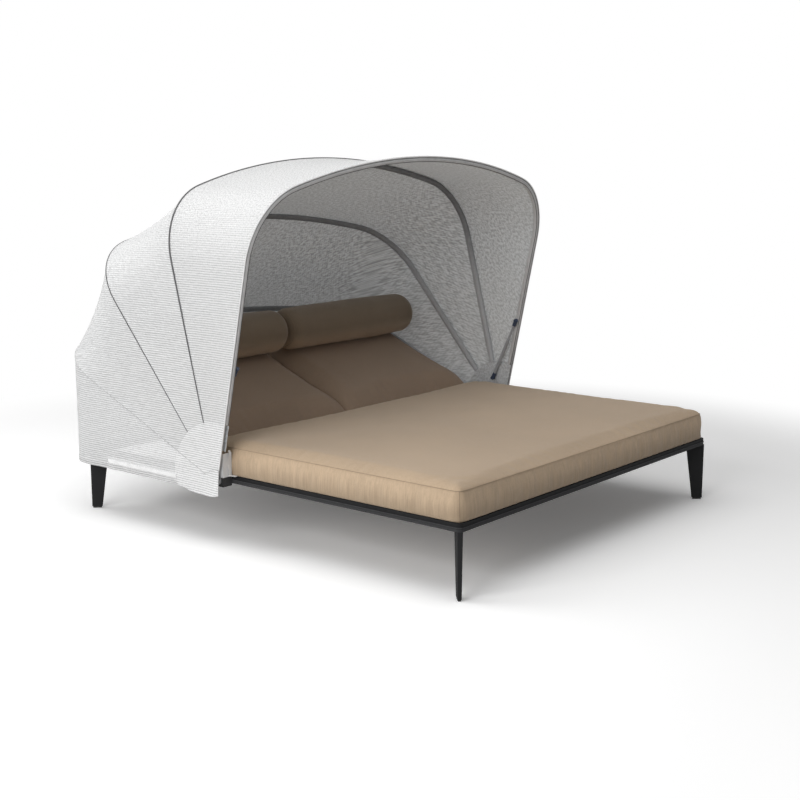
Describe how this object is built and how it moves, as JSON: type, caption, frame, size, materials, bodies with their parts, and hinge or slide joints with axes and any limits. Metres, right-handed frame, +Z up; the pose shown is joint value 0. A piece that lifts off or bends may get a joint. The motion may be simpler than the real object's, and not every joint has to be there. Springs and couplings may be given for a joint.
{
  "type": "outdoor daybed with canopy",
  "caption": "Low outdoor daybed on blade legs with adjustable backrests and a bow canopy of mesh cloth that folds back on braced struts.",
  "frame": {"origin": "middle of the whole part's footprint, on the floor", "axes": "+Z up, +Y towards the head end, +X to the right of someone lying with the head at +Y"},
  "size_m": [1.989, 2.2528, 1.5072],
  "materials": {
    "powder_coat": "near-black powder coat",
    "inner_frame": "dark powder coat",
    "bare_steel": "brushed",
    "bracket": "satin, light grey",
    "bow_tube": "satin, mid grey",
    "strut_metal": "satin grey",
    "strut_fitting": "dark blue moulding",
    "glide_plastic": "matt black",
    "canopy_cloth": "ribbed open mesh, light grey",
    "cushion_cloth": "plain weave, sand",
    "bolster_cloth": "plain weave, sand"
  },
  "bodies": {
    "frame": {"foot_rail": "powder_coat", "head_rail": "powder_coat", "side_rail_left": "powder_coat", "side_rail_right": "powder_coat", "leg_head_left": "powder_coat", "leg_head_right": "powder_coat", "leg_foot_left": "powder_coat", "leg_foot_right": "powder_coat", "glide_head_left": "glide_plastic", "glide_head_right": "glide_plastic", "glide_foot_left": "glide_plastic", "glide_foot_right": "glide_plastic", "hinge_crossbar": "inner_frame", "seat_spine": "inner_frame", "seat_slat_1": "inner_frame", "seat_slat_2": "inner_frame", "seat_slat_3": "inner_frame", "seat_slat_4": "inner_frame", "seat_slat_5": "inner_frame", "seat_slat_6": "inner_frame", "seat_slat_7": "inner_frame", "seat_slat_8": "inner_frame", "rack_left": "inner_frame", "rack_right": "inner_frame", "backrest_hinge_pin_left": "bare_steel", "backrest_hinge_pin_right": "bare_steel", "canopy_bracket_left": "bracket", "canopy_bracket_right": "bracket", "canopy_pivot_left": "bare_steel", "canopy_pivot_right": "bare_steel", "rear_bow": "bow_tube", "canopy_skirt": "canopy_cloth", "seat_cushion": "cushion_cloth"},
    "third_bow": {"third_bow": "bow_tube", "canopy_panel_rear": "canopy_cloth"},
    "second_bow": {"second_bow": "bow_tube", "canopy_panel_middle": "canopy_cloth"},
    "front_bow": {"front_bow": "bow_tube", "canopy_panel_front": "canopy_cloth"},
    "strut_lower_left": {"strut_tube_left": "strut_metal", "strut_lower_joint_left": "strut_fitting"},
    "strut_upper_left": {"strut_strip_left": "strut_metal", "strut_upper_joint_left": "strut_fitting"},
    "backrest_left": {"backrest_frame_left": "inner_frame", "back_cushion_left": "cushion_cloth", "bolster_left": "bolster_cloth"},
    "stay_left": {"stay_left": "bare_steel"},
    "strut_lower_right": {"strut_tube_right": "strut_metal", "strut_lower_joint_right": "strut_fitting"},
    "strut_upper_right": {"strut_strip_right": "strut_metal", "strut_upper_joint_right": "strut_fitting"},
    "backrest_right": {"backrest_frame_right": "inner_frame", "back_cushion_right": "cushion_cloth", "bolster_right": "bolster_cloth"},
    "stay_right": {"stay_right": "bare_steel"}
  },
  "joints": [
    {"name": "canopy_fold", "type": "hinge", "parent": "frame", "child": "third_bow", "pos_m": [0, 0.00957, 0.262], "axis": [-1, 0, 0], "range_deg": [0, 20], "deforming": ["canopy_panel_rear"]},
    {"name": "second_bow_fold", "type": "hinge", "parent": "third_bow", "child": "second_bow", "pos_m": [0, 0.00957, 0.262], "axis": [-1, 0, 0], "range_deg": [0, 20], "deforming": ["canopy_panel_middle"]},
    {"name": "front_bow_fold", "type": "hinge", "parent": "second_bow", "child": "front_bow", "pos_m": [0, 0.00957, 0.262], "axis": [-1, 0, 0], "range_deg": [0, 20], "deforming": ["canopy_panel_front"]},
    {"name": "strut_swing_left", "type": "hinge", "parent": "second_bow", "child": "strut_lower_left", "pos_m": [-0.9422, 0.04909, 0.41704], "axis": [-1, 0, 0], "range_deg": [0, 29.2]},
    {"name": "strut_slide_left", "type": "slide", "parent": "strut_lower_left", "child": "strut_upper_left", "axis": [0, -0.4107, 0.9118], "range_m": [-0.025, 0]},
    {"name": "strut_swing_right", "type": "hinge", "parent": "second_bow", "child": "strut_lower_right", "pos_m": [0.9422, 0.04909, 0.41704], "axis": [-1, 0, 0], "range_deg": [0, 29.2]},
    {"name": "strut_slide_right", "type": "slide", "parent": "strut_lower_right", "child": "strut_upper_right", "axis": [0, -0.4107, 0.9118], "range_m": [-0.025, 0]},
    {"name": "backrest_raise_left", "type": "hinge", "parent": "frame", "child": "backrest_left", "pos_m": [-0.44685, 0.15657, 0.2645], "axis": [1, 0, 0], "range_deg": [-22, 8]},
    {"name": "stay_swing_left", "type": "hinge", "parent": "backrest_left", "child": "stay_left", "pos_m": [-0.44685, 0.41572, 0.3692], "axis": [1, 0, 0], "range_deg": [-16, 44]},
    {"name": "backrest_raise_right", "type": "hinge", "parent": "frame", "child": "backrest_right", "pos_m": [0.44685, 0.15657, 0.2645], "axis": [1, 0, 0], "range_deg": [-22, 8]},
    {"name": "stay_swing_right", "type": "hinge", "parent": "backrest_right", "child": "stay_right", "pos_m": [0.44685, 0.41572, 0.3692], "axis": [1, 0, 0], "range_deg": [-16, 44]}
  ],
  "couplings": [
    {"joint": "second_bow_fold", "follows": "canopy_fold", "ratio": 1},
    {"joint": "front_bow_fold", "follows": "canopy_fold", "ratio": 1},
    {"joint": "strut_swing_left", "follows": "canopy_fold", "ratio": 1.455},
    {"joint": "strut_slide_left", "follows": "canopy_fold", "m_per_rad": -0.07125},
    {"joint": "strut_swing_right", "follows": "canopy_fold", "ratio": 1.455},
    {"joint": "strut_slide_right", "follows": "canopy_fold", "m_per_rad": -0.07125},
    {"joint": "stay_swing_left", "follows": "backrest_raise_left", "ratio": -2},
    {"joint": "stay_swing_right", "follows": "backrest_raise_right", "ratio": -2}
  ]
}
